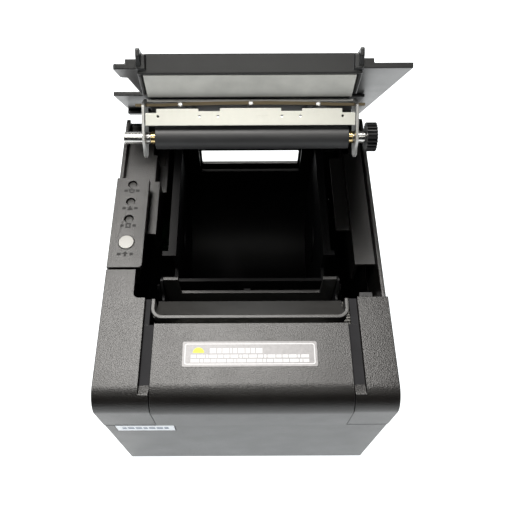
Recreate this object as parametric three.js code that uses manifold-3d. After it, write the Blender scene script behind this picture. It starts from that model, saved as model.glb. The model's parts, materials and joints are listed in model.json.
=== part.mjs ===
// Thermal receipt printer with its lid standing open: millimetres, +Z up, front at -Y.
import * as THREE from 'three';
import { mergeVertices } from 'three/addons/utils/BufferGeometryUtils.js';
import Module from 'manifold-3d';

const wasm = await Module();
wasm.setup();

// ---- driving dimensions -------------------------------------------------------------------
const GAP = 0.3;              // clearance kept between neighbouring pieces
const HALF_W = 71.5;          // half the case width
const FRONT = -88.5;          // front face of the case
const REAR = 89;              // rear face of the case
const BOTTOM = 2;             // underside of the case, held up by the feet
const SEAM = 83;              // joint between lower case and upper cover
const TOP = 116;              // top of the front panels
const RIM = 112;              // top of the low side walls behind the panels
const WALL = 2.4;             // case wall
const ROUND = 10.5;           // front rounding of the upper cover
const GROOVE = 2.1;           // depth of the grooves beside the cutter cover
const PANEL_L = -50;          // inner edge of the left front panel
const PANEL_R = 55.8;         // inner edge of the right front panel
const PANEL_L_END = -17;      // rear end of the left front panel
const PANEL_R_END = -33;      // rear end of the right front panel
const COVER_L = -44.8;        // cutter cover, left edge
const COVER_R = 50.4;         // cutter cover, right edge
const COVER_END = -47.2;      // cutter cover, rear edge
const COVER_TOP = 116.4;      // cutter cover, top face
const MID = 2.8;              // centre of the print mechanism, off the case's own centre
const LEDGE = 107;            // top of the ledges inside the rim
const BAY_L = -38.5;          // paper bay, inner side faces
const BAY_R = 43.5;
const BAY_Y = 38;             // axis of the bay's round floor
const BAY_Z = 52;
const BAY_RADIUS = 43;
const BAY_WALL = 2;
const BAY_TOP = 97;
const HINGE_Y = 84.8;         // lid hinge axis
const HINGE_Z = 100;
const LID_OPEN = 56.3;        // degrees from closed, as modelled
const PLATEN_Y = -19;         // platen roller axis with the lid closed
const PLATEN_Z = 86.4;
const PLATEN_RADIUS = 5;
const SHAFT_RADIUS = 1.8;
const BUSH_RADIUS = 2.6;
const GEAR_MODULE = 0.5;
const PLATEN_TEETH = 24;
const DRIVE_TEETH = 48;
const PINION_TEETH = 12;
const GEAR_L = 54;            // left face of the gear train
const GEAR_R = 58.5;
const OVERHANG = 5.25;        // half of how far the open lid reaches behind the case

// ---- solids -------------------------------------------------------------------------------
function solid(geometry) {
  const bare = geometry.index ? geometry.toNonIndexed() : geometry.clone();
  bare.deleteAttribute('normal');
  bare.deleteAttribute('uv');
  const merged = mergeVertices(bare, 1e-4);
  const vertProperties = new Float32Array(merged.attributes.position.array);
  const triVerts = new Uint32Array(merged.index.array);
  return new wasm.Manifold(new wasm.Mesh({ numProp: 3, vertProperties, triVerts }));
}

function join(first, ...others) {
  return others.reduce((sum, other) => sum.add(other), first);
}

function cut(first, ...others) {
  return others.reduce((rest, other) => rest.subtract(other), first);
}

function block([x0, x1], [y0, y1], [z0, z1]) {
  const box = new THREE.BoxGeometry(x1 - x0, y1 - y0, z1 - z0);
  return solid(box.translate((x0 + x1) / 2, (y0 + y1) / 2, (z0 + z1) / 2));
}

// An outline pushed along one axis. Outlines are drawn in (y, z), (x, z) or (x, y).
function push(axis, shape, from, to, segments = 8) {
  const depth = to - from;
  const settings = { depth, bevelEnabled: false, curveSegments: segments };
  const body = new THREE.ExtrudeGeometry(shape, settings);
  if (axis === 'x') {
    const turn = new THREE.Matrix4().set(0, 0, 1, from, 1, 0, 0, 0, 0, 1, 0, 0, 0, 0, 0, 1);
    return solid(body.applyMatrix4(turn));
  }
  if (axis === 'y') {
    return solid(body.rotateX(Math.PI / 2).translate(0, to, 0));
  }
  return solid(body.translate(0, 0, from));
}

function rod(axis, radius, from, to, [a, b], segments = 32) {
  const body = new THREE.CylinderGeometry(radius, radius, to - from, segments);
  const middle = (from + to) / 2;
  if (axis === 'x') return solid(body.rotateZ(Math.PI / 2).translate(middle, a, b));
  if (axis === 'y') return solid(body.translate(a, middle, b));
  return solid(body.rotateX(Math.PI / 2).translate(a, b, middle));
}

function outline(points) {
  return new THREE.Shape(points.map(([a, b]) => new THREE.Vector2(a, b)));
}

function roundRect(a0, a1, b0, b1, radius) {
  const shape = new THREE.Shape();
  shape.moveTo(a0 + radius, b0);
  shape.lineTo(a1 - radius, b0);
  shape.absarc(a1 - radius, b0 + radius, radius, -Math.PI / 2, 0);
  shape.lineTo(a1, b1 - radius);
  shape.absarc(a1 - radius, b1 - radius, radius, 0, Math.PI / 2);
  shape.lineTo(a0 + radius, b1);
  shape.absarc(a0 + radius, b1 - radius, radius, Math.PI / 2, Math.PI);
  shape.lineTo(a0, b0 + radius);
  shape.absarc(a0 + radius, b0 + radius, radius, Math.PI, 1.5 * Math.PI);
  return shape;
}

// A spur gear outline about (0, 0) with one tooth centred at the angle given.
function gearShape(teeth, toothAngle) {
  const pitch = teeth * GEAR_MODULE / 2;
  const step = 2 * Math.PI / teeth;
  const corners = [
    [-0.29, pitch - 1.25 * GEAR_MODULE],
    [-0.1, pitch + 0.85 * GEAR_MODULE],
    [0.1, pitch + 0.85 * GEAR_MODULE],
    [0.29, pitch - 1.25 * GEAR_MODULE],
  ];
  const points = [];
  for (let tooth = 0; tooth < teeth; tooth += 1) {
    for (const [share, radius] of corners) {
      const angle = toothAngle + (tooth + share) * step;
      points.push([radius * Math.cos(angle), radius * Math.sin(angle)]);
    }
  }
  return outline(points);
}

function helix(radius, wire, height, turns) {
  class Coil extends THREE.Curve {
    getPoint(t) {
      const angle = 2 * Math.PI * turns * t;
      return new THREE.Vector3(radius * Math.cos(angle), height * t, radius * Math.sin(angle));
    }
  }
  const ring = new THREE.Shape();
  ring.absarc(0, 0, wire, 0, 2 * Math.PI);
  return new THREE.ExtrudeGeometry(ring, { extrudePath: new Coil(), steps: turns * 14, curveSegments: 4 });
}

// ---- scene --------------------------------------------------------------------------------
const printer = new THREE.Group();
const base = new THREE.Group();
const lid = new THREE.Group();
lid.position.set(0, HINGE_Y, HINGE_Z);
lid.rotation.x = THREE.MathUtils.degToRad(-LID_OPEN);
base.add(lid);
base.position.y = -OVERHANG;
printer.add(base);

const looks = {
  charcoal: { color: 0x3b3937, roughness: 0.62, metalness: 0 },
  black: { color: 0x0c0c0d, roughness: 0.55, metalness: 0 },
  inner: { color: 0x17171a, roughness: 0.5, metalness: 0 },
  steel: { color: 0xc9c9c6, roughness: 0.3, metalness: 1 },
  aluminium: { color: 0xb4b6b8, roughness: 0.45, metalness: 1 },
  brass: { color: 0x9b7b45, roughness: 0.35, metalness: 1 },
  rubber: { color: 0x262628, roughness: 0.8, metalness: 0 },
  lens: { color: 0x8c8a86, roughness: 0.25, metalness: 0 },
  button: { color: 0xe6e4e0, roughness: 0.4, metalness: 0 },
  label: { color: 0xb9bac0, roughness: 0.35, metalness: 0.4 },
  white: { color: 0xe9edf2, roughness: 0.4, metalness: 0 },
  board: { color: 0x1f4a30, roughness: 0.5, metalness: 0 },
};

function place(group, name, body, look) {
  const source = body.isBufferGeometry ? body : null;
  let geometry = source;
  if (!source) {
    const { vertProperties, triVerts } = body.getMesh();
    geometry = new THREE.BufferGeometry();
    geometry.setAttribute('position', new THREE.BufferAttribute(new Float32Array(vertProperties), 3));
    geometry.setIndex(new THREE.BufferAttribute(new Uint32Array(triVerts), 1));
    geometry.computeVertexNormals();
  }
  const mesh = new THREE.Mesh(geometry, new THREE.MeshStandardMaterial(looks[look]));
  mesh.name = name;
  if (group === lid) mesh.position.set(0, -HINGE_Y, -HINGE_Z);
  group.add(mesh);
  return mesh;
}

// ---- case ---------------------------------------------------------------------------------
const REAR_SLOT = { x: [-28, 35], z: [70.5, 83.4] };
const PORTS = {
  dc_jack: { x: [-50, -39], z: [9, 20] },
  lan_port: { x: [-28, -12], z: [9, 22.5] },
  drawer_port: { x: [-4, 9], z: [9, 21] },
  usb_port: { x: [18, 30], z: [9, 20.5] },
};
const SWITCH = { x: [47, 61], z: [9, 29] };
const FEET = [[-58, -74], [58, -74], [-58, 74], [58, 74]];

function windowAt({ x, z }) {
  return block([x[0] - GAP, x[1] + GAP], [REAR - 2 * WALL, REAR + 1], [z[0] - GAP, z[1] + GAP]);
}

function lowerCase() {
  const outer = push('z', roundRect(-HALF_W, HALF_W, FRONT, REAR, 1), BOTTOM, SEAM);
  const inner = push('z', roundRect(-HALF_W + WALL, HALF_W - WALL, FRONT + WALL, REAR - WALL, 1.5),
    BOTTOM + WALL, SEAM + 1);
  const slot = block([REAR_SLOT.x[0], REAR_SLOT.x[1]], [REAR - 4, REAR + 1], [REAR_SLOT.z[0], SEAM + 1]);
  const badgeSeat = block([-66.2, -36.3], [FRONT - 1, FRONT + 0.4], [72.3, SEAM + 1]);
  const footSeats = FEET.map(([x, y]) => rod('z', 7.3, BOTTOM - 1, BOTTOM + 1, [x, y]));
  return cut(outer, inner, slot, badgeSeat, ...footSeats, ...Object.values(PORTS).map(windowAt),
    windowAt(SWITCH));
}

// Side view of the front: up the face, round the top edge and back along the top.
function frontProfile(face, top, radius, rear, bottom) {
  const shape = new THREE.Shape();
  shape.moveTo(face, bottom);
  shape.lineTo(rear, bottom);
  shape.lineTo(rear, top);
  shape.lineTo(face + radius, top);
  shape.absarc(face + radius, top - radius, radius, Math.PI / 2, Math.PI);
  return shape;
}

// A skin of the front profile, closed at its rear end by a short wall.
function frontSkin(x0, x1, face, top, radius, rear, thick, bottom) {
  const outer = push('x', frontProfile(face, top, radius, rear, bottom), x0, x1, 12);
  const inner = push('x', frontProfile(face + thick, top - thick, radius - thick, rear - thick, bottom - 1),
    x0 - 1, x1 + 1, 12);
  return cut(outer, inner);
}

function sideWall(x0, x1) {
  const shape = new THREE.Shape();
  const reach = 11.5;
  const start = Math.asin((REAR - HINGE_Y) / reach);
  shape.moveTo(FRONT + 12, SEAM + GAP);
  shape.lineTo(REAR, SEAM + GAP);
  shape.absarc(HINGE_Y, HINGE_Z, reach, Math.PI / 2 - start, Math.PI / 2);
  shape.lineTo(FRONT + 12, RIM);
  return push('x', shape, x0, x1);
}

function upperCover() {
  const leftPanel = frontSkin(-HALF_W, PANEL_L, FRONT, TOP, ROUND, PANEL_L_END, WALL, SEAM + GAP);
  const rightPanel = frontSkin(PANEL_R, HALF_W, FRONT, TOP, ROUND, PANEL_R_END, WALL, SEAM + GAP);
  const rails = [[PANEL_L - 1, COVER_L + 3], [COVER_R - 3, PANEL_R + 1]].map(([x0, x1]) => (
    frontSkin(x0, x1, FRONT + 2.8, TOP - GROOVE, 8, -30, 2, SEAM + GAP)));
  const grooveEnds = [[PANEL_L - 1, COVER_L - GAP], [COVER_R + GAP, PANEL_R + 1]].map((x) => grooveEnd(x));
  const grooveSides = [PANEL_L - 1.8, PANEL_R].map((x) => (
    frontSkin(x, x + 1.8, FRONT, TOP, ROUND, -30, 5, SEAM + GAP)));
  const channels = [[PANEL_L - 1, -47.3], [51.9, PANEL_R + 1]].map((x) => (
    block(x, [-47.1, -33.8], [TOP - GROOVE - 1.6, TOP - GROOVE])));
  const railEnds = block([PANEL_L - 3, PANEL_R + 3], [-47, -25], [SEAM, TOP - GROOVE + 0.3]);
  const tie = block([PANEL_L, PANEL_R], [FRONT + 2.8, FRONT + 4.8], [SEAM + GAP, SEAM + 9]);
  const cheekL = frontCheek([-HALF_W, -HALF_W + WALL], PANEL_L_END);
  const cheekR = frontCheek([HALF_W - WALL, HALF_W], PANEL_R_END);
  const belowStep = block([PANEL_R, 60], [PANEL_R_END, -20], [SEAM, TOP + 1]);
  const front = join(cut(join(...rails, ...grooveSides), railEnds, belowStep), ...channels, ...grooveEnds);
  const shell = join(leftPanel, rightPanel, front, tie, cheekL, cheekR, coverWalls(), coverLedges());
  const rearSlot = block(REAR_SLOT.x, [REAR - 4, REAR + 1], [SEAM, REAR_SLOT.z[1] + GAP]);
  const notch = push('z', roundRect(-56, -40, -33, -10, 2.5), 100, 120);
  const bushRoom = block([-60, -48], [PANEL_L_END - 3, PANEL_L_END + 1], [SEAM, 103]);
  const gearRoom = block([50, 60], [PANEL_R_END - 3, PANEL_R_END + 1], [SEAM, 103]);
  const knuckles = [[-53.9, -48.7], [49.8, 61.9]];
  const knuckleRoom = knuckles.map((x) => rod('x', 5, x[0], x[1], [HINGE_Y, HINGE_Z], 32));
  const armRoom = knuckles.map((x) => block(x, [HINGE_Y - 20, REAR + 1], [95.5, 120]));
  const bosses = [-57.4, 62].map((x) => rod('x', 4.2, x, x + 3.4, [HINGE_Y, HINGE_Z], 32));
  const bossWebs = [-57.4, 62].map((x) => block([x, x + 3.4], [HINGE_Y, REAR - 1], [97.5, 103.5]));
  const bores = rod('x', 1.55, -80, 80, [HINGE_Y, HINGE_Z], 48);
  const opened = cut(shell, rearSlot, notch, bushRoom, gearRoom, ...knuckleRoom, ...armRoom);
  return cut(join(opened, ...bosses, ...bossWebs), bores);
}

// A cheek that closes the outer side of a front panel.
function frontCheek([x0, x1], end) {
  return push('x', frontProfile(FRONT, TOP, ROUND, end, SEAM + GAP), x0, x1, 12);
}

// The groove beside the cutter cover runs out in a ramp, and the strip ahead of it is flush.
function grooveEnd([x0, x1]) {
  const strip = frontSkin(x0, x1, FRONT, TOP, ROUND, -70, 4, SEAM + GAP);
  const floor = TOP - GROOVE;
  const ramp = outline([[-60, 120], [-60, floor], [-77.5, floor], [-83.5, floor + 1.4], [-83.5, 120]]);
  const behind = block([x0 - 1, x1 + 1], [-76, -60], [SEAM, 120]);
  return cut(strip, push('x', ramp, x0 - 1, x1 + 1), behind);
}

function coverWalls() {
  const sideL = sideWall(-HALF_W, -HALF_W + 2.2);
  const sideR = sideWall(HALF_W - 2.2, HALF_W);
  const rear = block([-HALF_W, HALF_W], [REAR - WALL, REAR], [SEAM + GAP, 107.5]);
  return join(sideL, sideR, rear);
}

// Ledges inside the rim, which the lid's wings rest over.
function coverLedges() {
  const ledgeL = block([-HALF_W + 1, -48.8], [9.5, 45.2], [LEDGE - 2, LEDGE]);
  const ledgeRear = block([-HALF_W + 1, -51.7], [45, REAR - 1], [LEDGE - 2, LEDGE]);
  const shelfL = block([-HALF_W + 1, -55.5], [PANEL_L_END - 1, 10], [LEDGE - 2, LEDGE]);
  const skirtL = block([-50.8, -48.8], [9.5, 45.2], [92, LEDGE - 1]);
  const skirtRear = block([-53.7, -51.7], [43.2, REAR - 1], [92, LEDGE - 1]);
  const stepL = block([-52.7, -46.5], [45.2, REAR - 1], [94, 96]);
  const ledgeR = block([58.4, HALF_W - 1], [-10, REAR - 1], [LEDGE - 2, LEDGE]);
  const stepR = block([50.8, 60], [14, REAR - 1], [101, 103]);
  const skirtR = block([58.4, 60.4], [-10, REAR - 1], [90, LEDGE - 1]);
  return join(ledgeL, ledgeRear, shelfL, skirtL, skirtRear, stepL, ledgeR, stepR, skirtR);
}

function cutterCover() {
  const skin = frontSkin(COVER_L, COVER_R, FRONT - 0.4, COVER_TOP, 12, COVER_END, 2, SEAM + GAP);
  const openEnd = block([COVER_L - 1, COVER_R + 1], [COVER_END - 3, COVER_END + 1], [SEAM, COVER_TOP - 2]);
  const ribs = [-34, 40].map((x) => (
    block([x - 0.8, x + 0.8], [-76, COVER_END - 2], [COVER_TOP - 4.4, COVER_TOP - 1])));
  return join(cut(skin, openEnd), ...ribs);
}

// ---- control panel ------------------------------------------------------------------------
const PANEL_X = -62.6;
const LEDS = { led_power: 36.6, led_error: 25, led_paper: 13.8 };
const BUTTON_Y = -1;
const PANEL_REAR = 41;        // rear edge of the control panel

function controlPanel() {
  const plate = new THREE.Shape();
  plate.moveTo(-HALF_W, -16);
  plate.lineTo(-55.3, -16);
  plate.absarc(-55.3, -14, 2, -Math.PI / 2, 0);
  plate.lineTo(-53.3, PANEL_REAR - 2);
  plate.absarc(-55.3, PANEL_REAR - 2, 2, 0, Math.PI / 2);
  plate.lineTo(-HALF_W, PANEL_REAR);
  const body = push('z', plate, RIM + GAP, TOP);
  const holes = Object.values(LEDS).map((y) => rod('z', 2.45, RIM, TOP + 1, [PANEL_X, y], 24));
  const buttonHole = rod('z', 4.25, RIM, TOP + 1, [PANEL_X, BUTTON_Y], 32);
  return cut(body, ...holes, buttonHole);
}

function ledLens(y) {
  const dome = rod('z', 2.15, 110.5, TOP - 0.9, [PANEL_X, y], 24);
  return join(dome, rod('z', 3, 110.3, RIM - 0.2, [PANEL_X, y], 24));
}

function feedButton() {
  const cap = rod('z', 4.05, RIM - 1, TOP + 0.5, [PANEL_X, BUTTON_Y], 32);
  return join(cap, rod('z', 5, RIM - 1.4, RIM - 0.1, [PANEL_X, BUTTON_Y], 32));
}

function panelBoard() {
  const board = block([-68.8, -56], [-13, 40], [LEDGE + GAP, LEDGE + 1.6]);
  const key = block([PANEL_X - 3, PANEL_X + 3], [BUTTON_Y - 3, BUTTON_Y + 3], [LEDGE + 1, RIM - 2.4]);
  const lamps = Object.values(LEDS).map((y) => rod('z', 1.5, LEDGE + 1, RIM - 2, [PANEL_X, y], 16));
  return join(board, key, ...lamps);
}

// ---- paper path ---------------------------------------------------------------------------
function guideRim(inset, bottom) {
  const shape = new THREE.Shape();
  const left = -46.9 + inset;
  const right = 51.5 - inset;
  const front = -44.6 + inset;
  const radius = 5.8 - inset;
  shape.moveTo(left, -33.8 + 2 * inset);
  shape.lineTo(left, front + radius);
  shape.absarc(left + radius, front + radius, radius, Math.PI, 1.5 * Math.PI);
  shape.lineTo(right - radius, front);
  shape.absarc(right - radius, front + radius, radius, 1.5 * Math.PI, 2 * Math.PI);
  shape.lineTo(right, -33.8 + 2 * inset);
  return push('z', shape, bottom, TOP + inset);
}

function paperGuide() {
  const rim = cut(guideRim(0, 108), guideRim(2, 100));
  const slope = outline([[-43.4, TOP - 1], [-43.4, 111], [-30.2, 100.7], [-28.8, 102], [-42.4, TOP - 1]]);
  const plate = push('x', slope, -45, 49.6);
  return join(rim, plate);
}

function bayProfile(radius, top) {
  const shape = new THREE.Shape();
  shape.moveTo(BAY_Y - radius, top);
  shape.lineTo(BAY_Y - radius, BAY_Z);
  shape.absarc(BAY_Y, BAY_Z, radius, Math.PI, 2 * Math.PI);
  shape.lineTo(BAY_Y + radius, top);
  return shape;
}

function paperBay() {
  const outer = push('x', bayProfile(BAY_RADIUS + BAY_WALL, BAY_TOP), BAY_L - BAY_WALL, BAY_R + BAY_WALL, 20);
  const inner = push('x', bayProfile(BAY_RADIUS, BAY_TOP + 1), BAY_L, BAY_R, 20);
  const frontLow = block([BAY_L - 5, BAY_R + 5], [-12, 1.5], [82, 120]);
  const slotX = [REAR_SLOT.x[0] - 1, REAR_SLOT.x[1] + 1];
  const slot = block(slotX, [70, 86], [REAR_SLOT.z[0] - 1, BAY_TOP - 2.4]);
  const rear = BAY_Y + BAY_RADIUS;
  const flangeL = block([-43.1, BAY_L - 1], [1.5, rear + 1], [BAY_TOP - 2, BAY_TOP]);
  const footL = block([-46.3, BAY_L - 1], [1.5, 4.5], [BAY_TOP - 2, BAY_TOP]);
  const flangeR = block([BAY_R + 1, 48], [1.5, rear + 1], [BAY_TOP - 2.6, BAY_TOP - 0.6]);
  const footR = block([BAY_R + 1, 50], [1.5, 4.5], [BAY_TOP - 2, BAY_TOP]);
  const flangeRear = block([-43.1, 48], [rear + 0.4, REAR - WALL - GAP], [BAY_TOP - 2, BAY_TOP]);
  const hubL = rod('x', 14, BAY_L - 1, BAY_L + 1.2, [BAY_Y, BAY_Z], 40);
  const hubR = rod('x', 14, BAY_R - 1.2, BAY_R + 1, [BAY_Y, BAY_Z], 40);
  const trough = cut(outer, inner, frontLow, slot);
  return join(trough, flangeL, footL, flangeR, footR, flangeRear, hubL, hubR);
}

// ---- print mechanism ----------------------------------------------------------------------
const SIDE_L = [-46.6, -45.2];
const SIDE_R = [50.3, 51.7];
const CENTRES = 18.2;         // platen axis to drive gear axis, a little over the pitch radii
const DRIVE = [PLATEN_Y - 10, PLATEN_Z - Math.sqrt(CENTRES ** 2 - 10 ** 2)];
const MOTOR = [DRIVE[0] - 9, DRIVE[1] - 12];

function sidePlate([x0, x1], openings) {
  const shape = outline([[-41, 40], [-8, 40], [-8, 90], [-12, 95], [-27, 95], [-30, 92], [-41, 92]]);
  const plate = push('x', shape, x0, x1);
  const notchRadius = BUSH_RADIUS + 0.25;
  const seat = rod('x', notchRadius, x0 - 1, x1 + 1, [PLATEN_Y, PLATEN_Z], 32);
  const low = PLATEN_Z;
  const mouth = outline([[PLATEN_Y - notchRadius, low], [PLATEN_Y + notchRadius, low], [-15.6, 91],
    [-13, 95.5], [-26, 95.5], [-23.4, 91]]);
  const opening = push('x', mouth, x0 - 1, x1 + 1);
  const latchBore = rod('x', 1.5, x0 - 1, x1 + 1, LATCH, 24);
  return cut(plate, seat, opening, latchBore, ...openings);
}

function mechBase() {
  const beam = block([-44.9, 50], [-41, -8.4], [40, 43]);
  const rearWall = block([-44.9, 50], [-13.6, -11.6], [42, 80]);
  const corners = [[-44.9, -36.6], [42.4, 50]].map((x) => block(x, [-13.6, -11.6], [79, 96.6]));
  const feet = [[-44.9, -41], [46, 50]].map((x) => block(x, [-41, -8.4], [4.7, 42]));
  return join(beam, rearWall, ...corners, ...feet);
}

function printHead() {
  return block([-40.5, 46], [PLATEN_Y - 7.4, PLATEN_Y - 5.4], [74, 88]);
}

function headHeatsink() {
  const back = block([-39, 44.5], [-29, -26.7], [73.5, 87]);
  const fins = [75, 78.6, 82.2, 85.4].map((z) => block([-30, 36], [-31.5, -28.5], [z, z + 1.4]));
  return join(back, ...fins);
}

function headSpring(x) {
  const coil = helix(2.6, 0.45, 4.6, 4);
  return coil.translate(x, -36.4, 82.5);
}

function headCrossbar() {
  const bar = block([-44.9, 50], [-38.8, -37.2], [74, 90]);
  const seats = [-34.5, 40].map((x) => rod('y', 1.5, -38, -35.4, [x, 82.5], 20));
  return join(bar, ...seats);
}

function feedMotor() {
  const can = rod('x', 12.4, 27, 49.9, MOTOR, 40);
  const hole = rod('x', 1.1, 44, 51, MOTOR, 24);
  return cut(can, hole);
}

function gearOnX(teeth, toothAngle, from, to, [y, z]) {
  return push('x', gearShape(teeth, toothAngle), from, to).translate([0, y, z]);
}

const DRIVE_ANGLE = Math.atan2(DRIVE[1] - PLATEN_Z, DRIVE[0] - PLATEN_Y);
const MOTOR_ANGLE = Math.atan2(MOTOR[1] - DRIVE[1], MOTOR[0] - DRIVE[0]);

// The drive gear shows a gap to the platen gear; its tooth grid then sets the pinion's.
const DRIVE_PHASE = DRIVE_ANGLE + Math.PI + Math.PI / DRIVE_TEETH;
const MESH_OFFSET = (MOTOR_ANGLE - DRIVE_PHASE) * DRIVE_TEETH / PINION_TEETH;
const PINION_PHASE = MOTOR_ANGLE + Math.PI + Math.PI / PINION_TEETH + MESH_OFFSET;

function driveGear() {
  const wheel = gearOnX(DRIVE_TEETH, DRIVE_PHASE, GEAR_L, GEAR_R, DRIVE);
  const stub = rod('x', 1.9, 47.5, GEAR_L + 1, DRIVE, 32);
  const hub = rod('x', 3.4, GEAR_R - 2, GEAR_R + 2, DRIVE, 32);
  const dish = cut(rod('x', 9.4, GEAR_R - 1.2, GEAR_R + 1, DRIVE, 40), hub);
  return join(cut(wheel, dish), stub);
}

function motorPinion() {
  const wheel = gearOnX(PINION_TEETH, PINION_PHASE, GEAR_L, GEAR_R, MOTOR);
  return join(wheel, rod('x', 1, 45, GEAR_L + 1, MOTOR, 24));
}

const LATCH = [-18, 50];

function latch() {
  const bar = rod('x', 1.4, -48.4, 52.7, LATCH, 24);
  const hook = outline([[-19.8, 48], [-16, 48], [-12.6, 58], [-12.6, 90], [-15.4, 93.6], [-16.4, 90],
    [-15.2, 87], [-15.2, 62]]);
  return join(bar, push('x', hook, -48.4, -47.2), push('x', hook, 51.95, 52.7));
}

// ---- cutter -------------------------------------------------------------------------------
const BLADE_Z = 98.8;
const TRAY_Z = 96.2;
const CUT_PINION = [24, -62];
const RACK_PITCH = 4;

function cutterFrame() {
  const tray = block([-41, 46.6], [-80, -34], [TRAY_Z, TRAY_Z + 1.4]);
  const front = block([-41, 46.6], [-81.4, -80], [TRAY_Z, TRAY_Z + 8.6]);
  const lips = [[-41, -39.6], [45.2, 46.6]].map((x) => block(x, [-81, -45], [TRAY_Z + 0.6, TRAY_Z + 6.6]));
  const shaftHole = rod('z', 2.2, TRAY_Z - 1, TRAY_Z + 3, CUT_PINION, 24);
  return cut(join(tray, front, ...lips), shaftHole);
}

function movingBlade() {
  const shape = outline([[-36, -55], [-20, -55], [-20, -74], [19.2, -74], [19.2, -55], [42, -55], [42, -31.5],
    [MID, -33.5], [-36, -31.5]]);
  const plate = push('z', shape, BLADE_Z, BLADE_Z + 1);
  const teeth = [];
  const step = Math.PI * GEAR_MODULE;
  for (let y = -71 - step; y < -56; y += step) {
    const tooth = outline([[19, y], [19, y + 0.95], [20.3, y + 0.65], [20.3, y + 0.3]]);
    teeth.push(push('z', tooth, BLADE_Z, BLADE_Z + 1));
  }
  return join(plate, ...teeth);
}

function cutterPinion() {
  const wheel = push('z', gearShape(2 * RACK_PITCH / GEAR_MODULE, 0), BLADE_Z - 0.5, BLADE_Z + 2)
    .translate([CUT_PINION[0], CUT_PINION[1], 0]);
  return join(wheel, rod('z', 1.5, 84, BLADE_Z, CUT_PINION, 24));
}

function cutterMotor() {
  const can = rod('z', 9.5, 69, TRAY_Z - 0.4, CUT_PINION, 32);
  return cut(can, rod('z', 1.6, 83, 98, CUT_PINION, 24));
}

// ---- electronics --------------------------------------------------------------------------
function logicBoard() {
  const board = block([-60, 60], [-82, -44], [7, 8.6]);
  const chips = [[-40, -70, 14], [-6, -64, 12], [30, -70, 10]].map(([x, y, side]) => (
    block([x, x + side], [y, y + side], [8, 10.2])));
  return join(board, ...chips);
}

function interfaceBoard() {
  const board = block([-62, 62], [56, 84], [7, 8.6]);
  const stack = [[-60, 60], [36, 60]].map(([x, y]) => block([x, x + 6], [y, y + 12], [8, 12]));
  return join(board, ...stack);
}

function port(name) {
  const { x, z } = PORTS[name];
  const shell = block(x, [74, REAR - 0.6], z);
  if (name === 'dc_jack') {
    const mouth = rod('y', 3.9, 80, REAR + 1, [(x[0] + x[1]) / 2, (z[0] + z[1]) / 2], 32);
    return join(cut(shell, mouth), rod('y', 1, 79, REAR - 3, [(x[0] + x[1]) / 2, (z[0] + z[1]) / 2], 16));
  }
  const mouth = block([x[0] + 1.6, x[1] - 1.6], [79, REAR + 1], [z[0] + 1.6, z[1] - 1.6]);
  if (name !== 'usb_port') return cut(shell, mouth);
  const middle = (x[0] + x[1]) / 2;
  const tongue = block([middle - 2.6, middle + 2.6], [78, REAR - 3], [z[0] + 3.8, z[1] - 3.8]);
  return join(cut(shell, mouth), tongue);
}

const ROCKER_Z = (SWITCH.z[0] + SWITCH.z[1]) / 2;
const ROCKER_Y = REAR - 1.6;
const ROCKER_TILT = 8;        // off position, leaning one way

function switchHousing() {
  const body = block(SWITCH.x, [REAR - 14, REAR + 0.8], SWITCH.z);
  const [x0, x1] = SWITCH.x;
  const [z0, z1] = SWITCH.z;
  const well = block([x0 + 1.4, x1 - 1.4], [REAR - 8, REAR + 2], [z0 + 1.4, z1 - 1.4]);
  return cut(body, well);
}

function powerSwitch() {
  const shape = outline([[-2, -7.4], [1.2, -7.6], [2, 0], [1.2, 7.6], [-2, 7.4], [-3.2, 0]]);
  return push('x', shape, SWITCH.x[0] + 1.8, SWITCH.x[1] - 1.8);
}

function paperSensor() {
  return join(block([-4, 6], [-11.2, -7.5], [62, 70]), block([-1, 3], [-11.2, -7.5], [68, 74]));
}

function lidSwitch() {
  return join(block([60.9, 68], [-30, -22], [88, 98]), block([62, 64], [-27, -25], [97, 101]));
}

// ---- lid, drawn closed --------------------------------------------------------------------
const LID_TOP = 118.75;
const WING = [113.3, 115.7];
const REAR_WING = [116.35, LID_TOP];
const LIP_BOTTOM = 110.4;
const KNUCKLES = [[-53.6, -49], [50.2, 61.6]];

// A raised cheek along each side of the lid's centre, standing proud as a horn at the front.
function lidCheek([x0, x1]) {
  const shape = outline([[-40.6, 116.6], [-40.6, 119.6], [-39.8, 120.2], [-37, 120], [-12, LID_TOP],
    [-12, 109], [-22.6, 104.6], [-34.4, 109.8], [-37.4, 112.4]]);
  return push('x', shape, x0, x1);
}

function lidCover() {
  const wingR = block([50, 71.3], [PANEL_R_END + GAP, 82], WING);
  const wingL = block([-71.3, -44], [PANEL_REAR - 0.6, 83], REAR_WING);
  const wingInner = block([-52.6, -46], [PANEL_L_END, 50], WING);
  const ear = push('z', roundRect(-55.6, -46, PANEL_R_END + GAP, PANEL_L_END + GAP, 1.5), WING[0], WING[1]);
  const gussetL = block([-48.2, -43.4], [PANEL_R_END + GAP, 82], [WING[0], 117.6]);
  const gussetR = block([48.4, 54.8], [PANEL_R_END + GAP, 82], [WING[0], 117.6]);
  const blockL = block([-50.4, -44], [PANEL_R_END + GAP, PANEL_R_END + 6], [WING[0], 117.6]);
  const centre = push('z', roundRect(-44.6, 49.2, -36.5, 83, 1), LID_TOP - 2.4, LID_TOP);
  const lip = block([-44.6, 49.2], [-36.5, -34.4], [LIP_BOTTOM, LID_TOP - 1]);
  const lipEnds = [[-44.4, -41], [45.6, 49]].map((x) => (
    block(x, [-38, -34.4], [LIP_BOTTOM + 1.6, LID_TOP - 0.6])));
  const cheeks = [[-44.6, -42.9], [47.5, 49.2]].map(lidCheek);
  const tail = block([-71.3, 71.3], [80, 85.8], WING);
  const rearStep = block([-71.3, -44], [80.6, 83], [WING[0], LID_TOP - 1]);
  return join(wingR, wingL, wingInner, ear, gussetL, gussetR, blockL, centre, lip, ...lipEnds, ...cheeks,
    tail, rearStep);
}

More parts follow.
